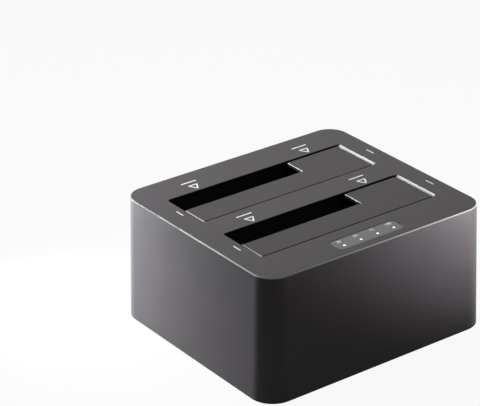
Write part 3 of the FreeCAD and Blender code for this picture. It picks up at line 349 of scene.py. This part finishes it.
glowSet = {
    "dark": (0.80, 0.82, 0.84), "light": (0.95, 0.96, 0.97), "rough": 0.2, "strength": 1.0,
    "speckScale": 900.0,
}


def lampFinish(values):
    finish = Finish("lampGlow", {"Roughness": values["rough"], "Emission Strength": values["strength"]})
    speck = finish.noise(values["speckScale"], textureSet["detail"])
    glow = finish.between(speck, values["dark"], values["light"])
    finish.feed("Base Color", glow)
    finish.feed("Emission Color", glow)
    return finish.material


finishes = {name: plasticFinish(name, values) for name, values in plasticSet.items()}
finishes.update({name: metalFinish(name, values) for name, values in metalSet.items()})
finishes["circuitBoard"] = boardFinish(boardSet)
finishes["ribbonPlastic"] = ribbonFinish(ribbonSet)
finishes["whitePrint"] = printFinish(printSet)
finishes["lampGlow"] = lampFinish(glowSet)
print("finishes made:", len(finishes))

slotFinish = {
    "case_plastic": "casePlastic", "base_plastic": "basePlastic", "frame_plastic": "framePlastic",
    "flap_plastic": "flapPlastic", "steel": "steel", "spring_steel": "springSteel",
    "connector_plastic": "connectorPlastic", "contact_gold": "contactGold", "circuit_board": "circuitBoard",
    "chip_resin": "chipResin", "aluminium": "aluminium", "usb_plastic": "usbPlastic",
    "switch_plastic": "switchPlastic", "button_plastic": "buttonPlastic", "window_plastic": "windowPlastic",
    "clear_plastic": "clearPlastic", "lamp_resin": "lampGlow", "ribbon_plastic": "ribbonPlastic",
    "rubber": "rubber",
}
nodeSlot = {part["node"]: part["material_slot"] for part in frame["record"]["subparts"]}
bodies = frame["record"]["behaviour"]["bodies"]
nodeBody = {node: body for body, nodes in bodies.items() for node in nodes}


# small modelling helpers

def deselectAll():
    if bpy.context.mode != "OBJECT":
        bpy.ops.object.mode_set(mode="OBJECT")
    bpy.ops.object.select_all(action="DESELECT")


def select(piece):
    deselectAll()
    piece.select_set(True)
    bpy.context.view_layer.objects.active = piece


def editMode(piece, kind="FACE"):
    select(piece)
    bpy.ops.object.mode_set(mode="EDIT")
    bpy.ops.mesh.select_mode(type=kind)
    bpy.ops.mesh.select_all(action="DESELECT")
    return bmesh.from_edit_mesh(piece.data)


def pickFacing(mesh, way, least=0.9):
    # faces that look up, with way 1, or down, with way -1
    for face in mesh.faces:
        face.select_set(face.normal.z * way > least)


def settle(piece, name, body, finishName):
    # the piece's place goes into its mesh; it gets its finish and rides on its body
    select(piece)
    bpy.ops.object.transform_apply(location=True, rotation=True, scale=True)
    piece.name = name
    piece.data.name = name
    piece.data.materials.clear()
    piece.data.materials.append(finishes[finishName])
    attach(piece, body)
    return piece


def joinPieces(pieces):
    deselectAll()
    for piece in pieces:
        piece.select_set(True)
    bpy.context.view_layer.objects.active = pieces[0]
    bpy.ops.object.join()
    return pieces[0]


def applyModifier(piece, kind, **settings):
    select(piece)
    modifier = piece.modifiers.new(kind.lower(), kind)
    for name, setting in settings.items():
        setattr(modifier, name, setting)
    bpy.ops.object.modifier_apply(modifier=modifier.name)


def smoothBelow(piece, degrees):
    select(piece)
    bpy.ops.object.shade_smooth_by_angle(angle=math.radians(degrees))


def jointPlace(name):
    joint = next(joint for joint in frame["record"]["behaviour"]["joints"] if joint["name"] == name)
    return Vector(joint["pos_m"])


# dressed copies of the CAD pieces: merged, with soft edges and even shading

dressSet = {
    "smoothAngle": 32.0,
    "bevelAngle": 40.0,
    "mergeGap": 0.0005,  # mm
    "flatAngle": 0.5,
    "slotRim": {"atX": 52.1, "reachX": 0.22, "middles": (-21.65, 23.45), "halfLength": 15.2, "grow": 0.7,
                "upperFrom": 65.4, "top": 65.6, "lowerFrom": 65.2, "lowerTo": 65.3},
    "bevels": {"base_cover": 0.25, "front_bay_frame": 0.2, "rear_bay_frame": 0.2, "rocker_frame": 0.15,
               "power_jack": 0.15, "front_drive_connector": 0.1, "rear_drive_connector": 0.1,
               "copy_switch": 0.1, "ribbon_sockets": 0.1, "bridge_chip": 0.08, "memory_chip": 0.08,
               "progress_lamps": 0.08},
}


def widenSlotRims(piece, values):
    # the chamfer at each slot's right-hand end grows outwards and downwards
    moves = ((values["upperFrom"], values["top"], (values["grow"], 0, 0)),
             (values["lowerFrom"], values["lowerTo"], (0, 0, -values["grow"])))
    for low, high, move in moves:
        mesh = editMode(piece, "VERT")
        for vertex in mesh.verts:
            x, y, z = (value / mm for value in vertex.co)
            inSlot = any(abs(y - middle) < values["halfLength"] for middle in values["middles"])
            vertex.select_set(inSlot and abs(x - values["atX"]) < values["reachX"] and low < z < high)
        mesh.select_flush_mode()
        bpy.ops.transform.translate(value=tuple(step * mm for step in move))
    bpy.ops.object.mode_set(mode="OBJECT")


def dressNode(node, values):
    source = frame["nodes"][node]
    select(source)
    piece = source.copy()
    piece.data = source.data.copy()
    piece.parent = None
    piece.matrix_world = source.matrix_world.copy()
    scene.collection.objects.link(piece)
    editMode(piece)
    bpy.ops.mesh.select_all(action="SELECT")
    bpy.ops.mesh.remove_doubles(threshold=values["mergeGap"] * mm)
    bpy.ops.mesh.dissolve_limited(angle_limit=math.radians(values["flatAngle"]))
    bpy.ops.object.mode_set(mode="OBJECT")
    if node == "housing":
        widenSlotRims(piece, values["slotRim"])
    if node in values["bevels"]:
        applyModifier(piece, "BEVEL", width=values["bevels"][node] * mm, segments=2, limit_method="ANGLE",
                      angle_limit=math.radians(values["bevelAngle"]), use_clamp_overlap=True)
    smoothBelow(piece, values["smoothAngle"])
    applyModifier(piece, "WEIGHTED_NORMAL", keep_sharp=True)
    slotName = nodeSlot[node]
    settle(piece, "dressed_" + node, nodeBody[node], slotFinish[slotName])
    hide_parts(node)
    return piece


# print on the top: triangles with a bar behind each slot, a dash at each end, numbers on the light strip

markSet = {
    "triangleRadius": 3.6,
    "cornerRound": 1.1,
    "lineWidth": 0.8,
    "thickness": 0.008,
    "spots": [(-32.7, 43.2), (35.0, 43.0), (-32.7, -2.0), (35.0, -2.4)],
    "dashBehind": 5.0,
    "dashSize": (9.0, 0.85),
    "sideBars": [(-55.6, 23.0), (-55.6, -22.5), (59.6, 21.8), (59.6, -23.5)],
    "sideBarSize": (0.7, 5.5),
}
barRound = 0.45  # of a bar's width, at its ends
weldGap = 0.001  # mm


def addOutlineTriangle(x, y, z, values):
    bpy.ops.mesh.primitive_circle_add(vertices=3, radius=values["triangleRadius"] * mm, fill_type="NGON",
                                      location=(x, y, z), rotation=(0, 0, math.pi))
    piece = bpy.context.object
    editMode(piece, "VERT")
    bpy.ops.mesh.select_all(action="SELECT")
    bpy.ops.mesh.bevel(offset=values["cornerRound"] * mm, offset_type="OFFSET", segments=4, affect="VERTICES")
    bpy.ops.mesh.select_mode(type="FACE")
    bpy.ops.mesh.select_all(action="SELECT")
    bpy.ops.mesh.inset(thickness=values["lineWidth"] * mm)
    bpy.ops.mesh.delete(type="FACE")
    bpy.ops.object.mode_set(mode="OBJECT")
    return piece


def addPatch(x, y, z, size):
    # a flat bar of print with rounded ends
    bpy.ops.mesh.primitive_plane_add(size=1, location=(x, y, z))
    piece = bpy.context.object
    piece.scale = (size[0] * mm, size[1] * mm, 1)
    bpy.ops.object.transform_apply(location=False, rotation=False, scale=True)
    editMode(piece, "VERT")
    bpy.ops.mesh.select_all(action="SELECT")
    bpy.ops.mesh.bevel(offset=min(size) * barRound * mm, offset_type="OFFSET", segments=3, affect="VERTICES")
    bpy.ops.object.mode_set(mode="OBJECT")
    return piece


def addText(text, x, y, z, height, weight):
    bpy.ops.object.text_add(location=(x, y, z))
    piece = bpy.context.object
    piece.data.body = text
    piece.data.size = height
    piece.data.offset = weight
    piece.data.align_x = "CENTER"
    piece.data.align_y = "CENTER"
    piece.data.resolution_u = 3
    select(piece)
    bpy.ops.object.convert(target="MESH")
    return bpy.context.object


def thicken(piece, thickness):
    # flat print becomes a thin closed skin
    editMode(piece)
    bpy.ops.mesh.select_all(action="SELECT")
    bpy.ops.mesh.remove_doubles(threshold=weldGap * mm)
    bpy.ops.mesh.normals_make_consistent(inside=False)
    bpy.ops.object.mode_set(mode="OBJECT")
    applyModifier(piece, "SOLIDIFY", thickness=thickness * mm, offset=0.0)


def makeTopMarks(values):
    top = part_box("housing")[1].z
    pieces = []
    for x, y in values["spots"]:
        pieces.append(addOutlineTriangle(x * mm, y * mm, top, values))
        pieces.append(addPatch(x * mm, (y + values["dashBehind"]) * mm, top, values["dashSize"]))
    for x, y in values["sideBars"]:
        pieces.append(addPatch(x * mm, y * mm, top, values["sideBarSize"]))
    marks = joinPieces(pieces)
    thicken(marks, values["thickness"])
    return settle(marks, "topMarks", "station", "whitePrint")


lampSet = {
    "words": ["25", "50", "75", "100"],
    "numberHeight": 2.5,
    "numberWeight": 0.06,
    "numberBehind": 2.5,  # behind the strip's middle
    "lampAhead": 1.8,  # in front of it
    "pitch": 9.85,
    "radius": 0.6,
    "ringShare": 0.3,  # of the radius, for each ring of the dome
    "dome": 0.08,
    "domeSteps": (0.6, 0.3),
    "printThickness": 0.02,
    "lensThickness": 0.05,
}


def makeLightStrip(values):
    low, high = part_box("light_window")
    top = high.z
    middle = (low.y + high.y) / 2
    halfCount = (len(values["words"]) - 1) / 2
    numbers, lamps = [], []
    for count, word in enumerate(values["words"]):
        x = (count - halfCount) * values["pitch"] * mm
        numbers.append(addText(word, x, middle + values["numberBehind"] * mm, top,
                               values["numberHeight"] * mm, values["numberWeight"] * mm))
        bpy.ops.mesh.primitive_circle_add(vertices=24, radius=values["radius"] * mm, fill_type="NGON",
                                          location=(x, middle - values["lampAhead"] * mm, top))
        lamp = bpy.context.object
        editMode(lamp)
        bpy.ops.mesh.select_all(action="SELECT")
        for step in values["domeSteps"]:
            bpy.ops.mesh.inset(thickness=values["radius"] * values["ringShare"] * mm)
            bpy.ops.transform.translate(value=(0, 0, values["dome"] * step * mm))
        bpy.ops.object.mode_set(mode="OBJECT")
        lamps.append(lamp)
    numberPiece = joinPieces(numbers)
    thicken(numberPiece, values["printThickness"])
    settle(numberPiece, "lightNumbers", "station", "whitePrint")
    lampPiece = joinPieces(lamps)
    applyModifier(lampPiece, "SOLIDIFY", thickness=values["lensThickness"] * mm, offset=-1.0)
    return settle(lampPiece, "lampLenses", "station", "lampGlow")


rockerSet = {
    "tilt": -7.0,  # degrees, as the paddle rests
    "slope": 5.9,  # degrees, of each half of the paddle
    "reach": 2.9,
    "depth": 2.08,
    "ring": 1.1,
    "line": 0.45,
    "thickness": 0.02,
}


def makeRockerMarks(values):
    # I and O on the two halves of the paddle, laid on its faces and turned with it
    pivot = jointPlace("power_rocker_tilt")
    pieces = []
    for side in (-1, 1):
        if side < 0:
            bpy.ops.mesh.primitive_circle_add(vertices=28, radius=values["ring"] * mm, fill_type="NGON")
            mark = bpy.context.object
            editMode(mark)
            bpy.ops.mesh.select_all(action="SELECT")
            bpy.ops.mesh.inset(thickness=values["line"] * mm)
            bpy.ops.mesh.delete(type="FACE")
            bpy.ops.object.mode_set(mode="OBJECT")
        else:
            mark = addPatch(0, 0, 0, (values["line"], values["ring"] * 2))
        stand = Matrix.Rotation(math.radians(-90), 4, "X")
        lean = Matrix.Rotation(math.radians(side * values["slope"]), 4, "Z")
        out = Matrix.Translation((side * values["reach"] * mm, values["depth"] * mm, 0))
        turn = Matrix.Translation(pivot) @ Matrix.Rotation(math.radians(values["tilt"]), 4, "Z")
        mark.data.transform(turn @ out @ lean @ stand)
        pieces.append(mark)
    marks = joinPieces(pieces)
    thicken(marks, values["thickness"])
    return settle(marks, "rockerMarks", "power_rocker", "whitePrint")


# case screws with cross recesses, seen in the base's wells

screwSet = {
    "headRadius": 2.7,
    "headHeight": 2.0,
    "headBevel": 0.35,
    "shankRadius": 1.4,
    "tipLength": 1.0,
    "tipShare": 0.3,
    "crossLength": 3.0,
    "crossWidth": 0.7,
    "crossDepth": 1.1,
    "smoothAngle": 35.0,
}


def cutCross(head, place, values):
    # two crossed boxes, each half in the head and half below it
    for turned in (False, True):
        bpy.ops.mesh.primitive_cube_add(size=1, location=place)
        cutter = bpy.context.object
        across = (values["crossLength"], values["crossWidth"])
        along, aside = across[::-1] if turned else across
        cutter.scale = (along * mm, aside * mm, values["crossDepth"] * 2 * mm)
        applyModifier(head, "BOOLEAN", operation="DIFFERENCE", object=cutter, solver="EXACT")
        bpy.data.objects.remove(cutter)


def addCaseScrew(x, y, low, high, values):
    headRadius, headHeight = values["headRadius"] * mm, values["headHeight"] * mm
    tip = values["tipLength"] * mm
    bpy.ops.mesh.primitive_cylinder_add(vertices=40, radius=headRadius, depth=headHeight,
                                        location=(x, y, low + headHeight / 2))
    head = bpy.context.object
    mesh = editMode(head)
    pickFacing(mesh, -1)
    bpy.ops.mesh.bevel(offset=values["headBevel"] * mm, segments=4)
    mesh = editMode(head)
    pickFacing(mesh, 1)
    bpy.ops.mesh.inset(thickness=headRadius - values["shankRadius"] * mm)
    for step in (high - low - headHeight - tip, tip):
        bpy.ops.mesh.extrude_region_move(TRANSFORM_OT_translate={"value": (0, 0, step)})
    bpy.ops.transform.resize(value=(values["tipShare"], values["tipShare"], 1))
    bpy.ops.object.mode_set(mode="OBJECT")
    cutCross(head, (x, y, low), values)
    return head


def makeCaseScrews(values):
    low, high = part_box("case_screws")
    inset = values["headRadius"] * mm
    screws = joinPieces([addCaseScrew(x, y, low.z, high.z, values)
                         for x in (low.x + inset, high.x - inset) for y in (low.y + inset, high.y - inset)])
    smoothBelow(screws, values["smoothAngle"])
    settle(screws, "caseScrewSet", "station", "steel")
    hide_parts("case_screws")
    return screws


# flap springs wound as a true helix

springSet = {
    "wire": 0.25,
    "coil": 1.25,
    "turns": 4.0,
    "stepsPerTurn": 24,
    "leg": 9.0,
    "tail": 2.6,
    "legShare": 0.98,  # of the wire's radius
    "tipRound": 0.06,
    "smoothAngle": 50.0,
}


def makeFlapSpring(bay, values):
    low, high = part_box(bay + "_flap_spring")
    pivot = jointPlace(bay + "_flap_hinge")
    wire, coil = values["wire"] * mm, values["coil"] * mm
    startX, endX = low.x + wire, high.x - wire
    bpy.ops.mesh.primitive_circle_add(vertices=12, radius=wire, fill_type="NOTHING",
                                      location=(startX, pivot.y, pivot.z + coil),
                                      rotation=(math.pi / 2, 0, 0))
    spring = bpy.context.object
    select(spring)
    bpy.ops.object.transform_apply(location=False, rotation=True, scale=False)
    # the wire's ring is wound about the pin's line, which runs along X through the object's own origin
    spring.data.transform(Matrix.Translation((0, 0, coil)))
    spring.location = (startX, pivot.y, pivot.z)
    steps = int(values["stepsPerTurn"] * values["turns"])
    applyModifier(spring, "SCREW", axis="X", angle=2 * math.pi * values["turns"], screw_offset=endX - startX,
                  steps=steps, render_steps=steps, iterations=1, use_merge_vertices=True)
    leg, tail = values["leg"] * mm, values["tail"] * mm
    ends = [((startX, pivot.y + leg / 2, pivot.z + coil), (math.pi / 2, 0, 0), leg),
            ((endX, pivot.y - coil, pivot.z - tail / 2), (0, 0, 0), tail)]
    pieces = [spring]
    for middle, turn, length in ends:
        bpy.ops.mesh.primitive_cylinder_add(vertices=12, radius=wire * values["legShare"], depth=length,
                                            location=middle, rotation=turn)
        end = bpy.context.object
        editMode(end)
        bpy.ops.mesh.select_all(action="SELECT")
        bpy.ops.mesh.bevel(offset=values["tipRound"] * mm, segments=2)
        bpy.ops.object.mode_set(mode="OBJECT")
        pieces.append(end)
    whole = joinPieces(pieces)
    editMode(whole)
    bpy.ops.mesh.select_all(action="SELECT")
    bpy.ops.mesh.normals_make_consistent(inside=False)
    bpy.ops.object.mode_set(mode="OBJECT")
    smoothBelow(whole, values["smoothAngle"])
    settle(whole, bay + "SpringWire", "station", "springSteel")
    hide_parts(bay + "_flap_spring")
    return whole


# rubber feet with a rounded rim and a ring groove

footSet = {"rim": 0.5, "grooveAt": 1.6, "grooveWidth": 0.9, "grooveDepth": 0.35, "smoothAngle": 40.0}


def makeFoot(corner, values):
    node = "foot_" + corner
    low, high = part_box(node)
    middle = (low + high) / 2
    radius = (high.x - low.x) / 2
    bpy.ops.mesh.primitive_cylinder_add(vertices=48, radius=radius, depth=high.z - low.z, location=middle)
    foot = bpy.context.object
    mesh = editMode(foot)
    pickFacing(mesh, -1)
    bpy.ops.mesh.bevel(offset=values["rim"] * mm, segments=4)
    mesh = editMode(foot)
    pickFacing(mesh, -1, 0.999)
    bpy.ops.mesh.inset(thickness=(values["grooveAt"] - values["rim"]) * mm)
    for step in (values["grooveDepth"], -values["grooveDepth"]):  # down into the groove and out again
        bpy.ops.mesh.inset(thickness=values["grooveWidth"] / 2 * mm)
        bpy.ops.transform.translate(value=(0, 0, step * mm))
    bpy.ops.object.mode_set(mode="OBJECT")
    smoothBelow(foot, values["smoothAngle"])
    settle(foot, "footPad_" + corner, "station", "rubber")
    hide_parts(node)
    return foot


ownPieces = {"case_screws", "front_flap_spring", "rear_flap_spring"}
for node in frame["nodes"]:
    if node in ownPieces or node.startswith("foot_"):
        continue
    dressNode(node, dressSet)
print("CAD pieces dressed")
makeTopMarks(markSet)
makeLightStrip(lampSet)
makeRockerMarks(rockerSet)
makeCaseScrews(screwSet)
for bay in ("front", "rear"):
    makeFlapSpring(bay, springSet)
for corner in ("front_left", "front_right", "rear_left", "rear_right"):
    makeFoot(corner, footSet)
print("own pieces made")


# floor, world and studio lamps

studioSet = {
    "floorSize": 6.0,
    "floorColour": (0.25, 0.25, 0.25, 1),
    "shadowShare": 0.06,  # how much of the floor's own shading the camera sees
    "worldLevel": 0.19,
    "tints": {"leftEdgeSoft": (0.93, 1.0, 0.97)},
    "lamps": {
        # name: place, target, width, height, power, spread in degrees
        "leftEdgeSoft": ((-0.12, 0.14, 0.062), (-0.066, 0.05, 0.022), 0.06, 0.064, 0.56, 100.0),
        "rightCloseSoft": ((0.159, -0.193, 0.049), (0.1085, -0.0585, 0.110), 0.03, 0.03, 0.70, 85.0),
        "backSoft": ((0.40, 0.50, 0.35), (0.0, 0.0, 0.06), 0.40, 0.30, 0.35, 180.0),
        "topSoft": ((-0.02, 0.16, 0.36), (0.0, 0.0, 0.06), 0.15, 0.15, 1.45, 180.0),
    },
}


def seenShare(tree):
    # 1 for camera, glossy and transmitted rays, which see the pale background
    rays = tree.nodes.new("ShaderNodeLightPath")
    camera, glossy, through = (Value(tree, rays.outputs[name]) for name in (
        "Is Camera Ray", "Is Glossy Ray", "Is Transmission Ray"))
    return camera + glossy + through


def addFloor(values):
    bpy.ops.mesh.primitive_plane_add(size=values["floorSize"], location=(0, 0, 0))
    floor = bpy.context.object
    floor.name = "studioFloor"
    material = bpy.data.materials.new("paleFloor")
    material.use_nodes = True
    tree = material.node_tree
    tree.nodes.clear()
    seen = seenShare(tree)
    white = addNode(tree, "ShaderNodeEmission", {}, {"Color": (1, 1, 1, 1), "Strength": 1.0})
    matt = addNode(tree, "ShaderNodeBsdfDiffuse", {}, {"Color": values["floorColour"]})
    mixed = addNode(tree, "ShaderNodeMixShader", {}, [seen * (1 - values["shadowShare"]), matt, white])
    output = tree.nodes.new("ShaderNodeOutputMaterial")
    tree.links.new(mixed.socket, output.inputs["Surface"])
    floor.data.materials.append(material)


def setWorld(values):
    world = bpy.data.worlds.new("studioWorld")
    scene.world = world
    world.use_nodes = True
    tree = world.node_tree
    tree.nodes.clear()
    seen = seenShare(tree)
    strength = values["worldLevel"] + seen * (1 - values["worldLevel"])
    sky = addNode(tree, "ShaderNodeBackground", {}, {"Color": (1, 1, 1, 1), "Strength": strength})
    output = tree.nodes.new("ShaderNodeOutputWorld")
    tree.links.new(sky.socket, output.inputs["Surface"])


def addLamps(values):
    for name, (place, target, width, height, power, spread) in values["lamps"].items():
        bpy.ops.object.light_add(type="AREA", location=place)
        lamp = bpy.context.object
        lamp.name = name
        lamp.data.shape = "RECTANGLE"
        lamp.data.size = width
        lamp.data.size_y = height
        lamp.data.energy = power
        lamp.data.color = values["tints"].get(name, (1, 1, 1))
        lamp.data.spread = math.radians(spread)
        lamp.rotation_euler = (Vector(place) - Vector(target)).to_track_quat("Z", "Y").to_euler()


addFloor(studioSet)
setWorld(studioSet)
addLamps(studioSet)
scene.view_settings.view_transform = "Standard"
print("studio lit")
